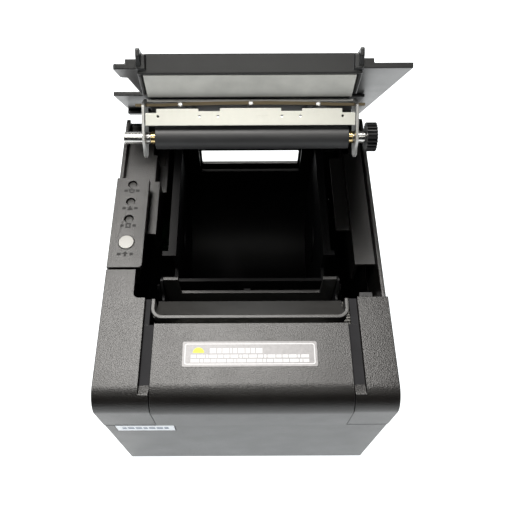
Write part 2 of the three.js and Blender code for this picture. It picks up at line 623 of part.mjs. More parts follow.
function lidArm([x0, x1]) {
  const shape = outline([[60, 112.9], [60, 109], [74, 106], [HINGE_Y - 3.6, HINGE_Z],
    [HINGE_Y - 3, HINGE_Z - 2.6], [HINGE_Y + 3, HINGE_Z + 2.6], [HINGE_Y + 1, 112.9]]);
  return join(push('x', shape, x0, x1), rod('x', 4, x0, x1, [HINGE_Y, HINGE_Z], 32));
}

function lidFrame() {
  const band = outline([[-34.1, 113], [-34.1, LIP_BOTTOM], [-22.4, 103.8], [-8, 103.8], [-8, 106],
    [-21.5, 106], [-31.4, 113]]);
  const slope = push('x', band, -42.6, 47.2);
  const deck = block([-44.6, 49.2], [-11.7, 80], [111.4, 113]);
  const deckFront = block([-42.6, 47.2], [-33, -11], [111.4, 113]);
  const deckRoom = block([-42.6, 47.2], [-10, -8], [104.5, 112]);
  const ribs = [-30, MID, 36].map((x) => block([x - 1, x + 1], [-9, 70], [107, 112]));
  const sideL = block([-53.4, -44], [46, 82], [111.4, 113]);
  const sideR = block([49, 61.4], [20, 82], [111.4, 113]);
  const arms = KNUCKLES.map(lidArm);
  const bore = rod('x', 1.6, -80, 80, [HINGE_Y, HINGE_Z], 48);
  return cut(join(slope, deck, deckFront, deckRoom, ...ribs, sideL, sideR, ...arms), bore);
}

const EAR_L = [-44.9, -43.7];
const EAR_R = [48.7, 49.9];

function platenBracket() {
  const web = block([EAR_L[0], EAR_R[1]], [-18.4, -11], [102.2, 103.5]);
  const ear = outline([[-25.3, 99.4], [-25.3, 84.4], [-22.4, 81.4], [-21.4, 78.4], [-18.2, 77.6], [-15.6, 79],
    [-14.2, 84.5], [-14.2, 100], [-11, 103.5], [-19, 103.5], [-23.6, 101.4]]);
  const left = push('x', ear, EAR_L[0], EAR_L[1]);
  const right = push('x', ear, EAR_R[0], EAR_R[1]);
  const bores = rod('x', BUSH_RADIUS + 0.02, -60, 60, [PLATEN_Y, PLATEN_Z], 32);
  const springRoom = block([-60, 60], [-21.4, -19.7], [99.5, 101.6]);
  return cut(join(web, left, right), bores, springRoom);
}

// The plate's upper edge steps down at both ends and beside its middle.
function fixedBlade() {
  const shape = outline([
    [-43.4, 90.95], [48.4, 90.95], [48.4, 96.4], [42.7, 96.4], [42.7, 98.2], [25.2, 98.2], [25.2, 97.1],
    [16, 97.1], [16, 98.4], [-10.8, 98.4], [-10.8, 97.1], [-20.2, 97.1], [-20.2, 98.2], [-38.6, 98.2],
    [-38.6, 96.4], [-43.4, 96.4]]);
  const plate = push('y', shape, -24.8, -23.6);
  const holes = [-37.9, -19.7, -11.6, 16.3, 24.4, 42.9].map((x) => rod('y', 0.55, -26, -22, [x, 94.9], 12));
  return cut(plate, ...holes);
}

// A leaf spring arched over the back of the plate, its ends reaching out past the ears.
function bladeSpring() {
  const shape = new THREE.Shape();
  shape.moveTo(-48.4, 99.9);
  shape.lineTo(-36, 99.9);
  shape.quadraticCurveTo(MID, 101.2, 41.6, 99.9);
  shape.lineTo(53.4, 99.9);
  shape.lineTo(53.4, 101.1);
  shape.lineTo(41.6, 101.2);
  shape.quadraticCurveTo(MID, 103, -36, 101.2);
  shape.lineTo(-48.4, 101.1);
  return push('y', shape, -20.9, -20.2, 20);
}

function springScrew(x) {
  return rod('y', 1.1, -22, -21, [x, x === MID ? 101.1 : 100.7], 20);
}

function bush(from, to) {
  const sleeve = rod('x', BUSH_RADIUS, from, to, [PLATEN_Y, PLATEN_Z], 32);
  return cut(sleeve, rod('x', SHAFT_RADIUS + 0.06, -60, 60, [PLATEN_Y, PLATEN_Z], 32));
}

function platenShaft() {
  const shaft = rod('x', SHAFT_RADIUS, -53.4, GEAR_R - 0.6, [PLATEN_Y, PLATEN_Z], 32);
  const collars = [[-41.9, -39.8], [46.3, 48.2]].map(([from, to]) => (
    rod('x', 2.5, from, to, [PLATEN_Y, PLATEN_Z], 32)));
  return join(shaft, ...collars);
}

function platenRubber() {
  const sleeve = rod('x', PLATEN_RADIUS, -39.5, 46, [PLATEN_Y, PLATEN_Z], 48);
  return cut(sleeve, rod('x', SHAFT_RADIUS + 0.01, -60, 60, [PLATEN_Y, PLATEN_Z], 32));
}

function platenGear() {
  const wheel = gearOnX(PLATEN_TEETH, DRIVE_ANGLE, GEAR_L, GEAR_R, [PLATEN_Y, PLATEN_Z]);
  return cut(wheel, rod('x', SHAFT_RADIUS + 0.01, 40, 70, [PLATEN_Y, PLATEN_Z], 32));
}

function hingePin(from, to) {
  return rod('x', 1.5, from, to, [HINGE_Y, HINGE_Z], 48);
}

// ---- assembly -----------------------------------------------------------------------------
place(base, 'lower_case', lowerCase(), 'charcoal');
place(base, 'upper_cover', upperCover(), 'charcoal');
place(base, 'cutter_cover', cutterCover(), 'charcoal');
const film = push('z', roundRect(-30, 34, -69.5, -57, 0.8), COVER_TOP + 0.02, COVER_TOP + 0.25);
place(base, 'top_label', film, 'label');
place(base, 'front_badge', block([-66, -36.5], [FRONT - 0.2, FRONT + 0.35], [72.6, 82.8]), 'white');
place(base, 'control_panel', controlPanel(), 'charcoal');
place(base, 'feed_button', feedButton(), 'button');
place(base, 'panel_board', panelBoard(), 'board');
for (const [name, y] of Object.entries(LEDS)) place(base, name, ledLens(y), 'lens');
place(base, 'paper_guide', paperGuide(), 'charcoal');
place(base, 'paper_bay', paperBay(), 'black');
place(base, 'mech_base', mechBase(), 'inner');
place(base, 'side_plate_left', sidePlate(SIDE_L, []), 'steel');
place(base, 'side_plate_right', sidePlate(SIDE_R, [
  rod('x', 2, 40, 60, DRIVE, 32),
  rod('x', 1.3, 40, 60, MOTOR, 32),
]), 'steel');
place(base, 'print_head', printHead(), 'aluminium');
place(base, 'head_heatsink', headHeatsink(), 'aluminium');
place(base, 'head_spring_left', headSpring(-34.5), 'steel');
place(base, 'head_spring_right', headSpring(40), 'steel');
place(base, 'head_crossbar', headCrossbar(), 'steel');
place(base, 'feed_motor', feedMotor(), 'aluminium');
place(base, 'motor_pinion', motorPinion(), 'white');
place(base, 'drive_gear', driveGear(), 'white');
place(base, 'latch_bar', latch(), 'steel');
place(base, 'cutter_frame', cutterFrame(), 'steel');
place(base, 'moving_blade', movingBlade(), 'steel');
place(base, 'cutter_pinion', cutterPinion(), 'brass');
place(base, 'cutter_motor', cutterMotor(), 'aluminium');
place(base, 'logic_board', logicBoard(), 'board');
place(base, 'interface_board', interfaceBoard(), 'board');
for (const name of Object.keys(PORTS)) place(base, name, port(name), name === 'dc_jack' ? 'black' : 'steel');
place(base, 'switch_housing', switchHousing(), 'black');
const rocker = place(base, 'power_switch', powerSwitch(), 'black');
rocker.position.set(0, ROCKER_Y, ROCKER_Z);
rocker.rotation.x = THREE.MathUtils.degToRad(-ROCKER_TILT);
place(base, 'paper_sensor', paperSensor(), 'black');
place(base, 'lid_switch', lidSwitch(), 'black');
FEET.forEach(([x, y], index) => {
  place(base, `foot_${index + 1}`, rod('z', 7, 0, BOTTOM + 0.9, [x, y], 32), 'rubber');
});
place(lid, 'lid_cover', lidCover(), 'charcoal');
place(lid, 'lid_frame', lidFrame(), 'inner');
place(lid, 'platen_bracket', platenBracket(), 'steel');
place(lid, 'fixed_blade', fixedBlade(), 'steel');
place(lid, 'blade_spring', bladeSpring(), 'brass');
[-28.4, MID, 32.6].forEach((x, index) => place(lid, `spring_screw_${index + 1}`, springScrew(x), 'steel'));
place(lid, 'bush_left', bush(-53.7, -42.2), 'steel');
place(lid, 'bush_right', bush(48.5, 53.7), 'steel');
place(lid, 'platen_shaft', platenShaft(), 'steel');
place(lid, 'platen_rubber', platenRubber(), 'rubber');
place(lid, 'platen_gear', platenGear(), 'black');
place(base, 'hinge_pin_left', hingePin(-57.6, -49.2), 'steel');
place(base, 'hinge_pin_right', hingePin(50.4, 65.6), 'steel');

export default printer;
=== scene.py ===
"""Receipt printer with its lid open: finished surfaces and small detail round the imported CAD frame."""
import json
import math

import bmesh
import bpy
from mathutils import Matrix, Vector


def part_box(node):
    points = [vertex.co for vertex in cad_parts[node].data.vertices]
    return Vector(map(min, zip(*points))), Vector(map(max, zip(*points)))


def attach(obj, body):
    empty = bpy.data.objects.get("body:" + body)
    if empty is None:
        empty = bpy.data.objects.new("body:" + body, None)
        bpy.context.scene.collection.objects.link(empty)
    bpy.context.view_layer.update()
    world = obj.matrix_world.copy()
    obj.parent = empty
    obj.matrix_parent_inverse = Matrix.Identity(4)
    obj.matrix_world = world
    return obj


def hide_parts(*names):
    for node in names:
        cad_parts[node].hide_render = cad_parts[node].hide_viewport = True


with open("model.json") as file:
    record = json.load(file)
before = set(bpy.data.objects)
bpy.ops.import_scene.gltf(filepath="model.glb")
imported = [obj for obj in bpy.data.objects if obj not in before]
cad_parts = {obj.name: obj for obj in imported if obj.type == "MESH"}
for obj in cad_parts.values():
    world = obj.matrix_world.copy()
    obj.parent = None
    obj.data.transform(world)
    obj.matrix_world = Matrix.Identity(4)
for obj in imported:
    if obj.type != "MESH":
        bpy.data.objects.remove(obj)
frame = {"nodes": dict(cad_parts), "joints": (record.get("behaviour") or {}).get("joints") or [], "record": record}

MM = 0.001
NODES = frame["nodes"]
RECORD = frame["record"]
BODY_OF = {node: body for body, nodes in RECORD["behaviour"]["bodies"].items() for node in nodes}
SLOT_OF = {part["node"]: part["material_slot"] for part in RECORD["subparts"]}
JOINTS = {joint["name"]: joint for joint in frame["joints"]}
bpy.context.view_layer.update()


# ---- materials ----------------------------------------------------------------------------
def scaled(color, factor):
    return tuple(min(1.0, channel * factor) for channel in color[:3]) + (1.0,)


def surface(name, color, roughness, metallic=0.0, grain=0.5, depth=0.01, bump=0.3, mottle=9.0,
            spread=0.12, rough_spread=0.06, stretch=(1, 1, 1), coat=0.0, specular=0.5):
    """A procedural finish. Grain and mottle are the sizes in mm of the fine relief and broad variation."""
    material = bpy.data.materials.new(name)
    material.use_nodes = True
    nodes, links = material.node_tree.nodes, material.node_tree.links
    shader = nodes["Principled BSDF"]
    shader.inputs["Metallic"].default_value = metallic
    shader.inputs["Coat Weight"].default_value = coat
    shader.inputs["Specular IOR Level"].default_value = specular
    coords = nodes.new("ShaderNodeTexCoord")
    mapping = nodes.new("ShaderNodeMapping")
    mapping.inputs["Scale"].default_value = stretch
    links.new(coords.outputs["Object"], mapping.inputs["Vector"])

    broad = nodes.new("ShaderNodeTexNoise")
    broad.inputs["Scale"].default_value = 1 / (mottle * MM)
    broad.inputs["Detail"].default_value = 3
    links.new(mapping.outputs["Vector"], broad.inputs["Vector"])
    ramp = nodes.new("ShaderNodeValToRGB")
    ramp.color_ramp.elements[0].position = 0.3
    ramp.color_ramp.elements[0].color = scaled(color, 1 - spread)
    ramp.color_ramp.elements[1].position = 0.7
    ramp.color_ramp.elements[1].color = scaled(color, 1 + spread)
    links.new(broad.outputs["Fac"], ramp.inputs["Fac"])
    links.new(ramp.outputs["Color"], shader.inputs["Base Color"])

    fine = nodes.new("ShaderNodeTexNoise")
    fine.inputs["Scale"].default_value = 1 / (grain * MM)
    fine.inputs["Detail"].default_value = 4
    fine.inputs["Roughness"].default_value = 0.6
    links.new(mapping.outputs["Vector"], fine.inputs["Vector"])
    relief = nodes.new("ShaderNodeBump")
    relief.inputs["Strength"].default_value = bump
    relief.inputs["Distance"].default_value = depth * MM
    links.new(fine.outputs["Fac"], relief.inputs["Height"])
    links.new(relief.outputs["Normal"], shader.inputs["Normal"])

    shine = nodes.new("ShaderNodeMapRange")
    shine.inputs["To Min"].default_value = max(0.02, roughness - rough_spread)
    shine.inputs["To Max"].default_value = min(1.0, roughness + rough_spread)
    links.new(broad.outputs["Fac"], shine.inputs["Value"])
    links.new(shine.outputs["Result"], shader.inputs["Roughness"])
    return material


FINISH = {
    "case_plastic": surface("case_plastic", (0.0075, 0.0066, 0.0060), 0.33, grain=0.6, depth=0.15,
                            bump=1.0, mottle=16, spread=0.12),
    "lid_plastic": surface("lid_plastic", (0.017, 0.0172, 0.0172), 0.32, grain=0.45, depth=0.06,
                           bump=0.5, mottle=14, spread=0.12),
    "inner_black": surface("inner_black", (0.004, 0.004, 0.0045), 0.5, grain=0.6, depth=0.015,
                           bump=0.2, mottle=12, spread=0.2, specular=0.2),
    "frame_black": surface("frame_black", (0.036, 0.0355, 0.034), 0.42, grain=0.5, depth=0.02,
                           bump=0.3, mottle=10, spread=0.15),
    "label_silver": surface("label_silver", (0.205, 0.20, 0.204), 0.40, metallic=0.1, grain=0.35,
                            depth=0.02, bump=0.4, mottle=1.6, spread=0.22),
    "badge_white": surface("badge_white", (0.86, 0.89, 0.94), 0.36, grain=0.5, depth=0.004, bump=0.2,
                           mottle=6, spread=0.03),
    "button_white": surface("button_white", (0.38, 0.376, 0.355), 0.42, grain=0.35, depth=0.01,
                            bump=0.3, mottle=5, spread=0.03),
    "lens_smoke": surface("lens_smoke", (0.024, 0.0235, 0.022), 0.34, grain=0.9, depth=0.01, bump=0.3,
                          mottle=1.4, spread=0.3, specular=0.25),
    "board_green": surface("board_green", (0.018, 0.085, 0.032), 0.35, grain=0.6, depth=0.01, bump=0.2,
                           mottle=4, spread=0.2, coat=0.3),
    "zinc_sheet": surface("zinc_sheet", (0.50, 0.495, 0.48), 0.46, metallic=1, grain=0.25, depth=0.006,
                          bump=0.25, mottle=5, spread=0.12, rough_spread=0.10, stretch=(0.15, 1, 1)),
    "blade_steel": surface("blade_steel", (0.72, 0.715, 0.655), 0.38, metallic=1, grain=0.16,
                           depth=0.006, bump=0.25, mottle=6, spread=0.05, rough_spread=0.08,
                           stretch=(1, 1, 0.12)),
    "shaft_steel": surface("shaft_steel", (0.62, 0.61, 0.59), 0.24, metallic=1, grain=0.12,
                           depth=0.003, bump=0.2, mottle=4, spread=0.05, stretch=(3, 1, 1)),
    "spring_brass": surface("spring_brass", (0.155, 0.125, 0.080), 0.40, metallic=1, grain=0.2,
                            depth=0.004, bump=0.25, mottle=5, spread=0.22, rough_spread=0.1,
                            stretch=(0.2, 1, 1)),
    "pinion_brass": surface("pinion_brass", (0.72, 0.55, 0.27), 0.22, metallic=1, grain=0.15,
                            depth=0.004, bump=0.2, mottle=2, spread=0.1, stretch=(3, 1, 1)),
    "roller_rubber": surface("roller_rubber", (0.028, 0.028, 0.029), 0.5, grain=0.22, depth=0.012,
                             bump=0.35, mottle=6, spread=0.15, stretch=(0.5, 1, 1), specular=0.5),
    "foot_rubber": surface("foot_rubber", (0.02, 0.02, 0.02), 0.75, grain=0.5, depth=0.02, bump=0.4,
                           mottle=4, spread=0.15),
    "head_aluminium": surface("head_aluminium", (0.020, 0.020, 0.023), 0.55, grain=0.3, depth=0.008,
                              bump=0.3, mottle=5, spread=0.08, stretch=(0.15, 1, 1), specular=0.2),
    "head_ceramic": surface("head_ceramic", (0.022, 0.021, 0.020), 0.5, grain=0.3, depth=0.004,
                            bump=0.2, mottle=4, spread=0.12, specular=0.15),
    "motor_metal": surface("motor_metal", (0.45, 0.46, 0.47), 0.36, metallic=1, grain=0.3, depth=0.008,
                           bump=0.25, mottle=5, spread=0.1),
    "gear_plastic": surface("gear_plastic", (0.012, 0.012, 0.013), 0.42, grain=0.5, depth=0.01,
                            bump=0.25, mottle=3, spread=0.15),
    "gear_white": surface("gear_white", (0.20, 0.197, 0.185), 0.5, grain=0.5, depth=0.01, bump=0.2,
                          mottle=4, spread=0.04),
    "port_metal": surface("port_metal", (0.55, 0.55, 0.56), 0.28, metallic=1, grain=0.3, depth=0.004,
                          bump=0.2, mottle=3, spread=0.08),
    "port_black": surface("port_black", (0.016, 0.016, 0.017), 0.42, grain=0.45, depth=0.012, bump=0.3,
                          mottle=4, spread=0.15),
}
WHITE_INK = surface("white_ink", (0.62, 0.62, 0.63), 0.5, grain=0.3, depth=0.004, bump=0.2, mottle=1.5,
                    spread=0.08)
YELLOW_INK = surface("yellow_ink", (0.72, 0.72, 0.03), 0.5, grain=0.3, depth=0.004, bump=0.2,
                     mottle=1.5, spread=0.1)
DARK_INK = surface("dark_ink", (0.010, 0.0098, 0.0095), 0.5, grain=0.3, depth=0.004, bump=0.2,
                   mottle=1.5, spread=0.1, specular=0.2)
BLUE_INK = surface("blue_ink", (0.16, 0.21, 0.30), 0.4, grain=0.3, depth=0.004, bump=0.2, mottle=1.5,
                   spread=0.1)
BLACK_ZINC = surface("black_zinc", (0.026, 0.026, 0.027), 0.5, metallic=0.5, grain=0.25, depth=0.006,
                     bump=0.25, mottle=5, spread=0.12, stretch=(0.15, 1, 1), specular=0.25)
MATT_BLACK = surface("matt_black", (0.020, 0.020, 0.022), 0.65, grain=0.45, depth=0.05, bump=0.4,
                     mottle=8, spread=0.15, specular=0.10)
# Painted light: a pale grey that stands in for the light reflected by the dark wall inside the lid, not its own
# colour.
BAND_PAINTED_LIGHT = surface("band_painted_light", (0.72, 0.71, 0.66), 0.55, grain=0.4, depth=0.02, bump=0.3, mottle=12,
                    spread=0.12)
GOLD = surface("contact_gold", (0.85, 0.62, 0.25), 0.25, metallic=1, grain=0.2, depth=0.003, bump=0.2,
               mottle=1, spread=0.1)


# Zinc parts deep in the mechanism are blackened.
OWN_FINISH = {node: BLACK_ZINC for node in ("side_plate_left", "side_plate_right", "head_crossbar",
                                            "latch_bar", "cutter_frame")}


# ---- mesh helpers -------------------------------------------------------------------------
# Angles between faces, in degrees.
CRISP_EDGE = 48
CRISP_CAD_EDGE = 32
ROUNDED_EDGE = 28


def even_normals(mesh):
    """Leans normals towards the largest faces, so flat faces shade flat beside rounded edges."""
    normals = [Vector() for _ in mesh.vertices]
    for face in mesh.polygons:
        for index in face.vertices:
            normals[index] += face.normal * face.area
    sharp = {v for edge in mesh.edges if edge.use_edge_sharp for v in edge.vertices}
    corners = []
    for face in mesh.polygons:
        for index in face.vertices:
            corners.append(face.normal if index in sharp else normals[index].normalized())
    mesh.normals_split_custom_set([tuple(normal) for normal in corners])


def add_piece(name, mesh, material, body):
    piece = bpy.data.objects.new(name, mesh)
    bpy.context.scene.collection.objects.link(piece)
    mesh.materials.clear()
    mesh.materials.append(material)
    mesh.shade_smooth()
    mesh.set_sharp_from_angle(angle=math.radians(CRISP_EDGE))
    even_normals(mesh)
    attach(piece, body)
    return piece


def finished_mesh(bm, name):
    bmesh.ops.recalc_face_normals(bm, faces=bm.faces)
    mesh = bpy.data.meshes.new(name)
    bm.to_mesh(mesh)
    bm.free()
    return mesh


def soften(bm, width, segments):
    """Rounds every edge sharper than ROUNDED_EDGE, to a width in mm."""
    bmesh.ops.remove_doubles(bm, verts=bm.verts, dist=1e-7)
    edges = [edge for edge in bm.edges
             if len(edge.link_faces) == 2 and edge.calc_face_angle(0) > math.radians(ROUNDED_EDGE)]
    bmesh.ops.bevel(bm, geom=edges, offset=width * MM, segments=segments, profile=0.5, affect="EDGES",
                    clamp_overlap=False)


def refine(node, width=0.3, segments=2):
    """Stands in for a CAD node with the same shape and softened edges."""
    bm = bmesh.new()
    bm.from_mesh(NODES[node].data)
    soften(bm, width, segments)
    mesh = finished_mesh(bm, node + "_finish")
    slot = SLOT_OF[node]
    piece = add_piece(node + "_finish", mesh, OWN_FINISH.get(node, FINISH[slot]), BODY_OF[node])
    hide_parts(node)
    return piece


def dress(node):
    """Keeps a CAD node's own shape and gives it its finish."""
    target = NODES[node]
    target.data.materials.clear()
    target.data.materials.append(FINISH[SLOT_OF[node]])
    target.data.shade_smooth()
    target.data.set_sharp_from_angle(angle=math.radians(CRISP_CAD_EDGE))


def outline_prism(bm, points, low, high, matrix=None):
    """A flat outline given in mm, raised from low to high."""
    matrix = matrix or Matrix.Identity(4)
    bottom = [bm.verts.new(matrix @ Vector((x * MM, y * MM, low * MM))) for x, y in points]
    top = [bm.verts.new(matrix @ Vector((x * MM, y * MM, high * MM))) for x, y in points]
    bm.faces.new(top)
    bm.faces.new(bottom[::-1])
    for index in range(len(points)):
        following = (index + 1) % len(points)
        bm.faces.new((bottom[index], bottom[following], top[following], top[index]))


def rectangle(x0, x1, y0, y1):
    return [(x0, y0), (x1, y0), (x1, y1), (x0, y1)]


def arc(cx, cy, radius, start, end, steps):
    """Points on a circle between two angles in degrees."""
    angles = [math.radians(start + (end - start) * i / steps) for i in range(steps + 1)]
    return [(cx + radius * math.cos(angle), cy + radius * math.sin(angle)) for angle in angles]


def round_rectangle(x0, x1, y0, y1, radius, steps=6):
    return (arc(x1 - radius, y0 + radius, radius, -90, 0, steps)
            + arc(x1 - radius, y1 - radius, radius, 0, 90, steps)
            + arc(x0 + radius, y1 - radius, radius, 90, 180, steps)
            + arc(x0 + radius, y0 + radius, radius, 180, 270, steps))


def ring_prism(bm, outer, inner, low, high, matrix=None):
    """A closed band between two outlines with the same number of points."""
    matrix = matrix or Matrix.Identity(4)
    loops = []
    for points, level in ((outer, low), (outer, high), (inner, high), (inner, low)):
        loops.append([bm.verts.new(matrix @ Vector((x * MM, y * MM, level * MM))) for x, y in points])
    count = len(outer)
    for first, second in zip(loops, loops[1:] + loops[:1]):
        for index in range(count):
            following = (index + 1) % count
            bm.faces.new((first[index], first[following], second[following], second[index]))


def lathe(bm, profile, steps, matrix):
    """Turns (distance along the axis, radius) points in mm about local X. Ends lie on the axis."""
    rings = []
    for along, radius in profile:
        if radius == 0:
            rings.append([bm.verts.new(matrix @ Vector((along * MM, 0, 0)))])
        else:
            rings.append([bm.verts.new(matrix @ Vector((
                along * MM,
                radius * MM * math.cos(2 * math.pi * i / steps),
                radius * MM * math.sin(2 * math.pi * i / steps)))) for i in range(steps)])
    for first, second in zip(rings, rings[1:]):
        for i in range(steps):
            j = (i + 1) % steps
            corners = [first[i % len(first)], first[j % len(first)],
                       second[j % len(second)], second[i % len(second)]]
            unique = list(dict.fromkeys(corners))
            bm.faces.new(unique)


def centre(node):
    low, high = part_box(node)
    return (low + high) / 2


# ---- CAD nodes ----------------------------------------------------------------------------
# Width in mm to which each node's edges are rounded. The rest keep the shape they have.
SOFTENED = {
    "lower_case": 0.5, "upper_cover": 0.35, "cutter_cover": 0.35, "control_panel": 0.2, "paper_guide": 0.35,
    "paper_bay": 0.12, "lid_cover": 0.4, "lid_frame": 0.3, "mech_base": 0.3, "side_plate_left": 0.15,
    "side_plate_right": 0.15, "platen_bracket": 0.15, "fixed_blade": 0.1, "latch_bar": 0.12,
    "print_head": 0.15, "head_heatsink": 0.2, "head_crossbar": 0.2, "cutter_frame": 0.15,
    "moving_blade": 0.08,
    "feed_button": 0.35, "led_power": 0.3, "led_error": 0.3, "led_paper": 0.3, "front_badge": 0.08,
    "dc_jack": 0.25, "lan_port": 0.25, "drawer_port": 0.25, "usb_port": 0.25, "switch_housing": 0.3,
    "power_switch": 0.35, "paper_sensor": 0.2, "lid_switch": 0.25, "feed_motor": 0.4, "cutter_motor": 0.4,
    "foot_1": 0.5, "foot_2": 0.5, "foot_3": 0.5, "foot_4": 0.5, "bush_left": 0.2, "bush_right": 0.2,
    "platen_rubber": 0.3, "hinge_pin_left": 0.2, "hinge_pin_right": 0.2, "panel_board": 0.1,
    "logic_board": 0.1, "interface_board": 0.1, "spring_screw_1": 0.2, "spring_screw_2": 0.2,
    "spring_screw_3": 0.2,
}
for node_name in NODES:
    if node_name in SOFTENED:
        refine(node_name, SOFTENED[node_name])
    else:
        dress(node_name)


# ---- small detail -------------------------------------------------------------------------
def box_mm(node):
    low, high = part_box(node)
    return low / MM, high / MM


def prisms(name, outlines, low, high, material, body, matrix=None):
    """One piece made of several separate raised outlines."""
    bm = bmesh.new()
    for points in outlines:
        outline_prism(bm, points, low, high, matrix)
    return add_piece(name, finished_mesh(bm, name), material, body)


def blocks(x0, x1, y0, y1, widths, gap):
    """A row of small bars whose widths are scaled to fill the length."""
    scale = (x1 - x0 - gap * (len(widths) - 1)) / sum(widths)
    row = []
    for width in widths:
        row.append(rectangle(x0, x0 + width * scale, y0, y1))
        x0 += width * scale + gap
    return row


PRINT = 0.03            # thickness of ink on the label
MARK = 0.04             # thickness of ink on the case
LABEL_MARGIN = 1        # from the label's edge to its frame line
LABEL_LINE = 0.5
BAR_INSET = 4           # from the label's ends to its rows of bars
TITLE_BARS = [3, 2, 3, 1, 2, 3, 2, 2, 3]
UPPER_BARS = [2, 3, 1, 3, 2, 2, 3, 1, 2, 3, 2, 1, 3, 2, 2, 3, 1, 3]
LOWER_BARS = [3, 1, 2, 2, 3, 2, 1, 3, 3, 2, 1, 2, 3, 2, 3, 1, 2]


def label_print():
    """A frame line, a yellow half disc and rows of plain bars on the silver label."""
    low, high = box_mm("top_label")
    top = high.z
    edge = LABEL_MARGIN
    outer = round_rectangle(low.x + edge, high.x - edge, low.y + edge, high.y - edge, 1.2)
    edge = LABEL_MARGIN + LABEL_LINE
    inner = round_rectangle(low.x + edge, high.x - edge, low.y + edge, high.y - edge, 0.8)
    bm = bmesh.new()
    ring_prism(bm, outer, inner, top, top + PRINT)
    add_piece("label_frame_line", finished_mesh(bm, "label_frame_line"), WHITE_INK, "front_cover")
    x0, x1, y1 = low.x, high.x - BAR_INSET, high.y
    rows = blocks(x0 + 13, x0 + 38, y1 - 5.9, y1 - 3.4, TITLE_BARS, 0.45)
    rows += blocks(x0 + BAR_INSET, x1, y1 - 8.2, y1 - 6.6, UPPER_BARS, 0.4)
    rows += blocks(x0 + BAR_INSET, x1, y1 - 10.4, y1 - 8.8, LOWER_BARS, 0.4)
    prisms("label_bars", rows, top, top + PRINT, WHITE_INK, "front_cover")
    half_disc = arc(x0 + 7.6, y1 - 5.7, 2.7, 0, 180, 20)
    prisms("label_dot", [half_disc], top, top + PRINT, YELLOW_INK, "front_cover")


BADGE_BARS = [2, 3, 3, 2, 3, 3, 2]
BADGE_INSET = 3
BADGE_HALF = 1.7        # half the height of the bars


def badge_print():
    """One row of plain bars on the front badge."""
    low, high = box_mm("front_badge")
    face = Matrix.Translation((0, low.y * MM, 0)) @ Matrix.Rotation(math.radians(90), 4, "X")
    middle = (low.z + high.z) / 2
    rows = blocks(low.x + BADGE_INSET, high.x - BADGE_INSET, middle - BADGE_HALF, middle + BADGE_HALF,
                  BADGE_BARS, 0.7)
    prisms("badge_marks", rows, 0, MARK, BLUE_INK, "case", face)


def mark_frame(x, y, wide, tall, line):
    """Four thin bars round a small upright rectangle."""
    return [rectangle(x - wide, x + wide, y - tall, y - tall + line),
            rectangle(x - wide, x + wide, y + tall - line, y + tall),
            rectangle(x - wide, x - wide + line, y - tall + line, y + tall - line),
            rectangle(x + wide - line, x + wide, y - tall + line, y + tall - line)]


MARK_LINE = 0.75
MARK_DROP = {"led_power": 4.4, "led_error": 4.4, "led_paper": 4.4, "feed_button": 7.1}
DASH = (2.3, 4.2)       # the two dashes beside each mark, measured from its middle


def panel_marks():
    """Plain pictograms below the lamps and the key: power, fault, paper and feed."""
    top = box_mm("control_panel")[1].z
    line = MARK_LINE
    near, far = DASH
    outlines = []
    for node, drop in MARK_DROP.items():
        middle = centre(node) / MM
        x, y = middle.x, middle.y - drop
        outlines += [rectangle(x - far, x - near, y - line, y + line),
                     rectangle(x + near, x + far, y - line, y + line)]
        if node == "led_power":
            outlines += [rectangle(x - line / 2, x + line / 2, y + 0.1, y + 1.6)]
            outlines += [arc(x, y, 1.6, -230, 50, 20) + arc(x, y, 1.6 - line, 50, -230, 20)]
        elif node == "led_error":
            outlines += [[(x - 1.7, y - 1.3), (x + 1.7, y - 1.3), (x, y + 1.5)]]
        elif node == "led_paper":
            outlines += mark_frame(x, y, 1.4, 1.5, line)
        else:
            outlines += [[(x - 1.6, y), (x + 1.6, y), (x, y + 1.6)],
                         rectangle(x - 0.6, x + 0.6, y - 1.5, y)]
    prisms("panel_marks", outlines, top, top + MARK, DARK_INK, "case")


GROOVE_FLOOR = 2.1      # depth of the grooves below the upper cover's top
STRIP_TOP = 2.04        # depth of the strips' upper face
RAMP = 11.4             # from the cutter cover's front to the foot of the ramp in each groove
LID_FRONT = -38.6       # just ahead of the closed lid's front edge
CHANNELS = ((-49.9, -47.4), (52, 55.7))


def groove_floors():
    """Smooth dark strips on the floors of the two grooves, as far back as the closed lid."""
    cover_low, cover_high = box_mm("cutter_cover")
    top = box_mm("upper_cover")[1].z
    front, rear = cover_low.y + RAMP, cover_high.y
    strips = [rectangle(cover_low.x - 5.1, cover_low.x - 0.1, front, rear),
              rectangle(cover_high.x + 0.1, cover_high.x + 5.3, front, rear)]
    strips += [rectangle(x0, x1, rear + 0.1, LID_FRONT) for x0, x1 in CHANNELS]
    prisms("groove_floors", strips, top - GROOVE_FLOOR, top - STRIP_TOP, MATT_BLACK, "case")


SLEEVE_BORE = 2.5
SLEEVE_EDGE = 2.6
SLEEVE_RADIUS = 2.72
SLEEVE_CHAMFER = 0.15


def collars():
    """Brass sleeves on the platen shaft beside the rubber."""
    rubber_low, rubber_high = box_mm("platen_rubber")
    axis = Matrix.Translation(Vector(JOINTS["platen_spin"]["pos_m"]) * Vector((0, 1, 1)))
    bm = bmesh.new()
    for x0, x1 in ((rubber_low.x - 2.3, rubber_low.x - 0.3), (rubber_high.x + 0.3, rubber_high.x + 2.2)):
        sleeve = [(x0, SLEEVE_BORE), (x0, SLEEVE_EDGE), (x0 + SLEEVE_CHAMFER, SLEEVE_RADIUS),
                  (x1 - SLEEVE_CHAMFER, SLEEVE_RADIUS), (x1, SLEEVE_EDGE), (x1, SLEEVE_BORE),
                  (x0, SLEEVE_BORE)]
        lathe(bm, sleeve, 36, axis)
    bmesh.ops.remove_doubles(bm, verts=bm.verts, dist=1e-6)
    add_piece("shaft_sleeves", finished_mesh(bm, "shaft_sleeves"), FINISH["pinion_brass"], "platen")


